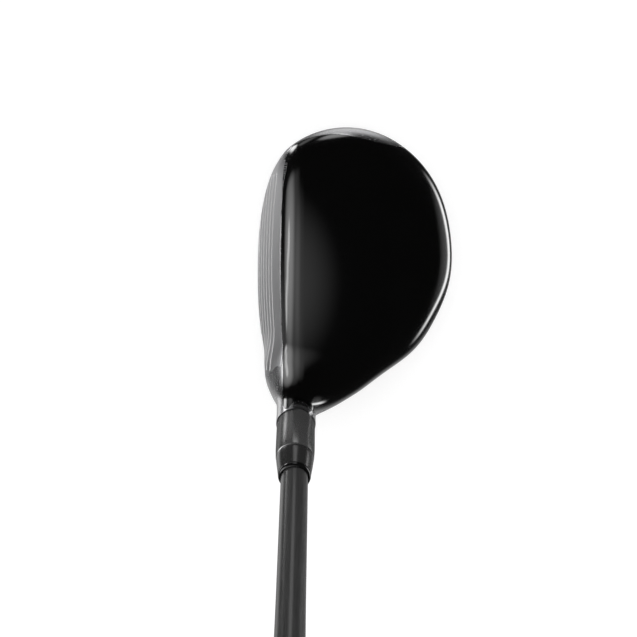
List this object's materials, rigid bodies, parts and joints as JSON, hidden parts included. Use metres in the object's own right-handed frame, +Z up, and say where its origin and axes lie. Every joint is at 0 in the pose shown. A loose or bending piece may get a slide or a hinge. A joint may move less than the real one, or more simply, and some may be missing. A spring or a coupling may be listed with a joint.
{
  "type": "hybrid golf club",
  "caption": "Hybrid golf club with a hollow steel head, black crown, adjustable splined hosel, screw-held shaft sleeve, graphite shaft and rubber grip.",
  "frame": {"origin": "centre of the flat keel pad under the sole, at the ground", "axes": "+Z up; -X is the way the face looks and +X is towards the back edge of the head; +Y is towards the toe; the shaft rises towards -Y at a lie of 58.5 degrees"},
  "size_m": [0.0738, 0.6339, 0.8833],
  "materials": {
    "cast_steel": "satin-polished cast stainless steel",
    "face_steel": "fine blasted forged steel with score lines",
    "crown_gloss": "high-gloss black paint under clear coat on carbon composite",
    "tungsten": "sintered tungsten alloy",
    "badge_black": "black moulded badge with plain raised ribs",
    "insert_alloy": "machined aluminium",
    "nylon": "black nylon",
    "washer_steel": "turned steel",
    "screw_steel": "black-oxide steel",
    "sleeve_alloy": "dark grey anodised aluminium",
    "ferrule_plastic": "black polished plastic",
    "ring_plastic": "black plastic trim ring",
    "graphite": "dark clear-coated graphite",
    "brass_plug": "brass swing-weight plug",
    "tape": "double-sided grip tape",
    "grip_rubber": "matt black rubber with a moulded pattern",
    "cap_rubber": "matt black rubber",
    "weight_steel": "turned steel",
    "seal_rubber": "black nitrile"
  },
  "bodies": {
    "head": {"head_body": "cast_steel", "face_plate": "face_steel", "crown_shell": "crown_gloss", "ballast_pad": "tungsten", "sole_badge": "badge_black", "hosel_insert": "insert_alloy", "screw_retainer": "nylon"},
    "shaft_assembly": {"adapter_sleeve": "sleeve_alloy", "ferrule": "ferrule_plastic", "ferrule_ring": "ring_plastic", "shaft": "graphite", "swing_weight": "brass_plug", "grip_tape": "tape", "grip": "grip_rubber", "grip_cap": "cap_rubber"},
    "screw_carrier": {"screw_washer": "washer_steel"},
    "screw": {"retaining_screw": "screw_steel"},
    "weight_carrier": {"weight_seal": "seal_rubber"},
    "weight": {"sole_weight": "weight_steel"}
  },
  "joints": [
    {"name": "shaft_pull", "type": "slide", "parent": "head", "child": "shaft_assembly", "axis": [0, -0.5225, 0.8526], "range_m": [0, 0.04]},
    {"name": "screw_travel", "type": "slide", "parent": "head", "child": "screw_carrier", "axis": [0, 0.5225, -0.8526], "range_m": [0, 0.008]},
    {"name": "screw_turn", "type": "hinge", "parent": "screw_carrier", "child": "screw", "pos_m": [-0.0096, -0.0329, 0], "axis": [0, 0.5225, -0.8526], "range_deg": [0, 3600]},
    {"name": "weight_travel", "type": "slide", "parent": "head", "child": "weight_carrier", "axis": [0.1753, 0, -0.9845], "range_m": [0, 0.005]},
    {"name": "weight_turn", "type": "hinge", "parent": "weight_carrier", "child": "weight", "pos_m": [0.029, 0.004, 0.00187], "axis": [0.1753, 0, -0.9845], "range_deg": [0, 1800]}
  ],
  "couplings": [
    {"joint": "screw_travel", "follows": "screw_turn", "m_per_rad": 0.00012732},
    {"joint": "weight_travel", "follows": "weight_turn", "m_per_rad": 0.00015915}
  ]
}
